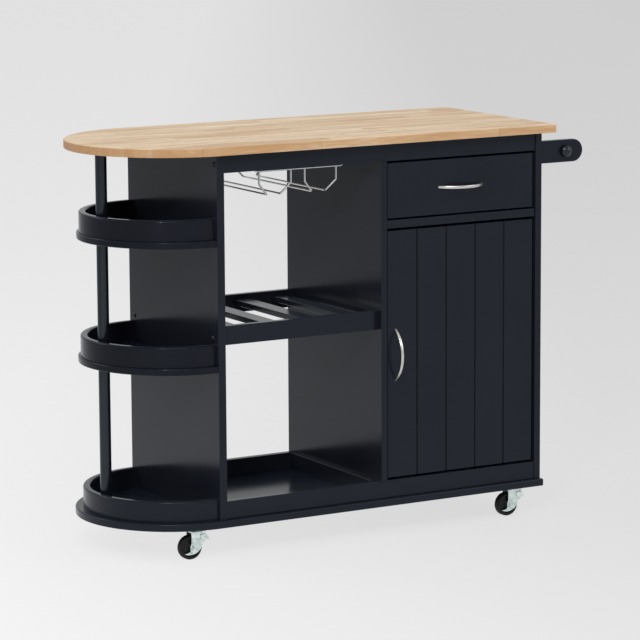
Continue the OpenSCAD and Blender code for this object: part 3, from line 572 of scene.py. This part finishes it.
# ---------------------------------------------------------------- small hardware taken from the CAD shapes
for n, w in (("rack_screws", 0.2), ("shelf_pins", 0.3), ("drawer_handle_screws", 0.2), ("door_handle_screws", 0.2),
             ("drawer_runner_channels", 0.2), ("drawer_runner_slides", 0.2), ("door_hinge_cups", 0.4), ("door_hinge_arms", 0.6),
             ("caster_plates", 0.35), ("caster_screws", 0.15)):
    from_cad(n, w, 2)
from_cad("drawer_runner_cages", 0.1, 1)
for c in ("front_left", "front_right", "rear_left", "rear_right"):
    from_cad(c + "_fork", 0.45, 2)
    # axle with riveted heads outside the fork's legs
    n = c + "_axle"
    lo, hi = bx(n)
    o = (lo + hi) / 2
    shaft, end = 0.003, (hi.y - lo.y) / 2
    side = [(0.0003, end), (0.0022, end - 0.0001), (0.0036, end - 0.0005), (0.0046, end - 0.0011), (0.0050, end - 0.0017), (0.0050, end - 0.0020), (shaft, end - 0.0020), (shaft, 0.006)]
    bm = bmesh.new()
    lathe(bm, side + [(a, -b) for a, b in reversed(side)], 48, o, "Y")
    finish_piece(n + "_look", bm, n, "axle_steel", 35.0)
    if c.startswith("front"):
        from_cad(c + "_brake", 0.4, 2)

# wheels: tyre, web with a raised ring, and hub
for c in ("front_left", "front_right", "rear_left", "rear_right"):
    n = c + "_wheel"
    lo, hi = bx(n)
    o = (lo + hi) / 2
    R = (hi.x - lo.x) / 2
    w = 0.009
    prof = [(0.00305, 0.01), (0.0068, 0.01), (0.0076, 0.0094), (0.0079, 0.0088), (0.0081, 0.0066), (0.0088, 0.0060), (0.0176, 0.0058), (0.0186, 0.0062),
            (0.0192, 0.0076), (0.0198, 0.0084), (0.0208, w), (R - 0.0034, w), (R - 0.0018, w - 0.0005), (R - 0.0006, w - 0.0018), (R, w - 0.0036), (R, 0.0022), (R - 0.00035, 0.0018), (R - 0.00035, 0.0008), (R, 0.0004)]
    prof = prof + [(a, -b) for a, b in reversed(prof)]
    bm = bmesh.new()
    rings, faces = lathe(bm, prof, 80, o, "Y", cap=False)
    skin(bm, rings[-1], rings[0])
    bm.faces.ensure_lookup_table()
    for i, fs in enumerate(faces):
        a, b = prof[i], prof[i + 1]
        if max(a[0], b[0]) < 0.0202:
            for f in fs:
                f.material_index = 1
    finish_piece(n + "_look", bm, n, "black_rubber", 35.0, mats=["black_rubber", "black_hub"])


# ---------------------------------------------------------------- domed bolts with hexagon sockets
def bolt(bm, centre, sign, r=0.0065, h=0.003, sock=0.0021):
    """Domed head on a face whose outward normal is sign*X."""
    n = 48
    R = (r * r + h * h) / (2 * h)

    def at(rad, up, hexed=False):
        pts = []
        for k in range(n):
            a = 2 * math.pi * k / n
            q = rad
            if hexed:
                q = rad / math.cos(((a + math.pi / 6) % (math.pi / 3)) - math.pi / 6)
            pts.append(Vector(centre) + Vector((sign * up, q * math.cos(a), q * math.sin(a))))
        return ring(bm, pts)

    def dome(rad):
        return math.sqrt(max(R * R - rad * rad, 0)) - (R - h)

    rows = [at(r - 0.0002, 0.0), at(r, 0.0003)]
    for k in range(1, 8):
        rad = r + (0.0033 - r) * k / 7
        rows.append(at(rad, dome(rad)))
    rows.append(at(sock + 0.00025, dome(sock + 0.0003), True))
    rows.append(at(sock, dome(sock) - 0.0003, True))
    rows.append(at(sock, 0.0009, True))
    for a, b in zip(rows, rows[1:]):
        skin(bm, a, b)
    bm.faces.new(list(reversed(rows[0])))
    bm.faces.new(rows[-1])


lp_lo, lp_hi = bx("left_side_panel")
rp_lo, rp_hi = bx("right_side_panel")
dv_lo, dv_hi = bx("divider_panel")
ft_lo, ft_hi = bx("front_top_rail")
bf_lo, bf_hi = bx("bottle_shelf_front_rail")
bm = bmesh.new()
yt, zt_ = (ft_lo.y + ft_hi.y) / 2, (ft_lo.z + ft_hi.z) / 2
yb, zb_ = (bf_lo.y + bf_hi.y) / 2, (bf_lo.z + bf_hi.z) / 2 - 0.0055
for y, z in ((yt, 0.8685), (-yt, 0.8685), (yb, 0.4855), (-yb, 0.4855)):
    bolt(bm, (lp_lo.x, y, z), -1)
for y, z in ((yt, 0.8785), (-yt, 0.8785)):
    bolt(bm, (rp_hi.x, y, z), 1)
for y, z in ((yb, 0.4855), (-yb, 0.4855)):
    bolt(bm, (dv_hi.x, y, z), 1)
finish_piece("panel_bolts_look", bm, "panel_bolts", "black_steel", 30.0)

# ---------------------------------------------------------------- stemware rack
lo, hi = bx("stemware_rack")
RW = 0.0022
rx, half = (lo.x + hi.x) / 2, (hi.x - lo.x) / 2 - 0.020
wt = bx("worktop")[0].z
y0, y1 = lo.y + 0.008, hi.y - 0.008
rack_half = 0.1109
bm = bmesh.new()
for y in (y0, y1):
    tube(bm, rounded_path([(rx - rack_half, y, wt - 0.001), (rx - rack_half, y, 0.8435), (rx + rack_half, y, 0.8435), (rx + rack_half, y, wt - 0.001)], 0.006), RW, dome=False)
    for s in (-1, 1):
        cxp = rx + s * (rack_half + 0.012)
        out = []
        a0 = -90 if s > 0 else 90
        for k in range(25):
            a = math.radians(a0 + 180 * k / 24)
            out.append((cxp + 0.008 * math.cos(a), y + 0.008 * math.sin(a)))
        xi = rx + s * (rack_half - 0.004)
        out += [(cxp - s * 0.006, y + s * 0.005), (xi, y + s * 0.005), (xi, y - s * 0.005), (cxp - s * 0.006, y - s * 0.005)]
        plate = slab(out, wt - 0.002, wt, 0.0002, 0.0006, 2)
        tmp = bpy.data.meshes.new("tmp")
        plate.to_mesh(tmp)
        plate.free()
        bm.from_mesh(tmp)
        bpy.data.meshes.remove(tmp)
hy0, hy1 = y0 + 0.00442, y1 - 0.00442
for c in (-1, 1):
    for s in (-1, 1):
        xc = rx + c * 0.0572
        xt, xb = xc + s * 0.0397, xc + s * 0.017
        tube(bm, rounded_path([(xt, hy0, 0.8445), (xt, hy0, 0.8135), (xb, hy0 + 0.008, 0.7895), (xb, hy1 - 0.003, 0.7895), (xt, hy1, 0.8135), (xt, hy1, 0.8445)], 0.004), RW)
finish_piece("stemware_rack_look", bm, "stemware_rack", "chrome_wire", 50.0)


# ---------------------------------------------------------------- bow handles
def bow(node, centre, along, face_y, mat):
    """Bow of rounded section whose ends thicken into the face behind it."""
    L, sag = 0.057, 0.02925
    R = (L * L + sag * sag) / (2 * sag)
    full = math.asin(L / R)
    along = Vector(along)
    out = Vector((0, -1, 0))
    wide = along.cross(out)
    c = Vector(centre) - out * (R - sag)
    frames, secs = [], []
    n = 72
    for k in range(n + 1):
        q = -1.06 + 2.12 * k / n
        a = full * q
        d = along * math.sin(a) + out * math.cos(a)
        e = abs(q)
        grow = max(0.0, (e - 0.62) / 0.44) ** 1.6
        t_in = 0.00175 + 0.0010 * grow
        w = 0.00335 - 0.0006 * min(1.0, grow)
        t_out = 0.00175
        sec = []
        m = 28
        for j in range(m):
            b = 2 * math.pi * j / m
            cb, sb = math.cos(b), math.sin(b)
            p = 0.62
            ca = math.copysign(abs(cb) ** p, cb)
            sa = math.copysign(abs(sb) ** p, sb)
            sec.append(((t_out if ca > 0 else t_in) * ca, w * sa))
        frames.append((c + d * R, d, wide))
        secs.append(sec)
    bm = bmesh.new()
    sweep(bm, frames, secs)
    bmesh.ops.recalc_face_normals(bm, faces=bm.faces)
    cut = bmesh.ops.bisect_plane(bm, geom=bm.verts[:] + bm.edges[:] + bm.faces[:], plane_co=(0, face_y, 0), plane_no=(0, 1, 0), clear_outer=True)
    edges = [e for e in cut["geom_cut"] if isinstance(e, bmesh.types.BMEdge)]
    bmesh.ops.holes_fill(bm, edges=edges, sides=0)
    finish_piece(node + "_look", bm, node, mat, 45.0)


for n, along, mat in (("drawer_handle", (1, 0, 0), "satin_nickel_x"), ("door_handle", (0, 0, 1), "satin_nickel")):
    lo, hi = bx(n)
    o = (lo + hi) / 2
    bow(n, (o.x, hi.y, o.z), along, hi.y, mat)

# ---------------------------------------------------------------- floor, light, camera
ft = Tree("floor_look")
x, y, z = ft.sep(ft.obj)
CAM = Vector((-3.6672181, -6.36320014, 1.69120977))
YAW, PITCH, ROLL, FPX = math.radians(30.06689764), math.radians(-9.4523249), math.radians(-0.31827506), 3271.26618
fwd = Vector((math.sin(YAW) * math.cos(PITCH), math.cos(YAW) * math.cos(PITCH), math.sin(PITCH)))
right = Vector((math.cos(YAW), -math.sin(YAW), 0))
up = right.cross(fwd)
rt = right * math.cos(ROLL) + up * math.sin(ROLL)
ut = -right * math.sin(ROLL) + up * math.cos(ROLL)
# painted light: the floor glows with a painted gradient, brightest in front, a little dimmer towards the back right
# and far out to the left
back = ft.math("MULTIPLY_ADD", x, 0.5, ft.math("MULTIPLY", y, 0.866))
side = ft.math("MULTIPLY_ADD", x, 0.866, ft.math("MULTIPLY", y, -0.5))
fall = ft.math("EXPONENT", ft.math("MULTIPLY", ft.math("MAXIMUM", back, -1.5), -0.2))
g = ft.math("MULTIPLY_ADD", fall, 14.6, 214.5)
g = ft.math("MULTIPLY_ADD", ft.remap(side, -0.8, 0.8, -0.8, 0.8), -12.5, g)
lin = ft.math("POWER", ft.math("DIVIDE", ft.math("ADD", g, 14.0), 269.0), 2.4)
out = ft.math("MULTIPLY", ft.math("MINIMUM", ft.math("MULTIPLY_ADD", ft.math("MAXIMUM", back, 0.0), 0.115, ft.math("ADD", side, 1.05)), 0.0), -0.62)
lin = ft.math("MULTIPLY", lin, ft.math("ADD", ft.math("MULTIPLY", ft.math("EXPONENT", ft.math("MULTIPLY", ft.math("MULTIPLY", out, out), -1.0)), 0.45), 0.55))
lin = ft.math("MULTIPLY", lin, ft.remap(side, 2.0, 6.0, 1.0, 0.9))
grain = ft.noise(ft.obj, 35.0, 3.0)
lin = ft.math("MULTIPLY", lin, ft.remap(grain, 0.0, 1.0, 0.995, 1.005))
# painted light: the floor's glow carries the gradient; the faint grey base colour takes the shadows
ft.surface(ft.mix(grain, (0.11, 0.11, 0.11), (0.12, 0.12, 0.12)), ft.remap(grain, 0.3, 0.7, 0.9, 1.0), None, Specular_IOR_Level=0.0, Emission_Strength=0.90)
ft.put(ft.bsdf.inputs["Emission Color"], ft.comb(lin, lin, lin))
ft.mat.cycles.emission_sampling = "NONE"
bm = bmesh.new()
S = 90.0
k = 12
grid = [[bm.verts.new((-S + 2 * S * i / k, -S + 2 * S * j / k, 0.0)) for j in range(k + 1)] for i in range(k + 1)]
for i in range(k):
    for j in range(k):
        bm.faces.new((grid[i][j], grid[i + 1][j], grid[i + 1][j + 1], grid[i][j + 1]))
me = bpy.data.meshes.new("floor")
bm.to_mesh(me)
bm.free()
me.materials.append(ft.mat)
floor = bpy.data.objects.new("floor", me)
scene.collection.objects.link(floor)

world = bpy.data.worlds.new("studio")
world.use_nodes = True
bg = world.node_tree.nodes["Background"]
bg.inputs[0].default_value = (1.0, 1.0, 1.0, 1)
bg.inputs[1].default_value = 0.67
scene.world = world


def area(name, at, to, size, power, color=(1, 1, 1)):
    d = bpy.data.lights.new(name, "AREA")
    d.shape = "RECTANGLE"
    d.size, d.size_y = size
    d.energy = power
    d.color = color
    o = bpy.data.objects.new(name, d)
    o.location = at
    o.rotation_mode = "QUATERNION"
    o.rotation_quaternion = (Vector(to) - Vector(at)).to_track_quat("-Z", "Y")
    scene.collection.objects.link(o)
    return o


area("key", (-2.4, -3.4, 3.8), (0, 0, 0.4), (2.2, 2.2), 54)
area("fill", (3.2, -3.0, 2.6), (0, 0, 0.5), (2.0, 2.0), 26)
area("rim", (-2.6, 2.6, 2.6), (-0.2, 0, 0.5), (1.6, 1.6), 16)
area("glint_left", (-3.6, -4.2, 4.0), (0.2, 0, 0.6), (0.3, 0.3), 60)
area("glint_front", (-1.2, -4.6, 3.6), (0, 0, 0.5), (0.35, 0.35), 22)

cd = bpy.data.cameras.new("camera")
cd.sensor_width = 36.0
cd.lens = FPX / 640 * 36
cd.clip_start, cd.clip_end = 0.05, 400
cam = bpy.data.objects.new("camera", cd)
m = Matrix(((rt.x, ut.x, -fwd.x), (rt.y, ut.y, -fwd.y), (rt.z, ut.z, -fwd.z)))
cam.matrix_world = Matrix.Translation(CAM) @ m.to_4x4()
scene.collection.objects.link(cam)
scene.camera = cam

scene.view_settings.view_transform = "Standard"
scene.view_settings.look = "None"
scene.view_settings.exposure = 0.0
scene.view_settings.gamma = 1.0
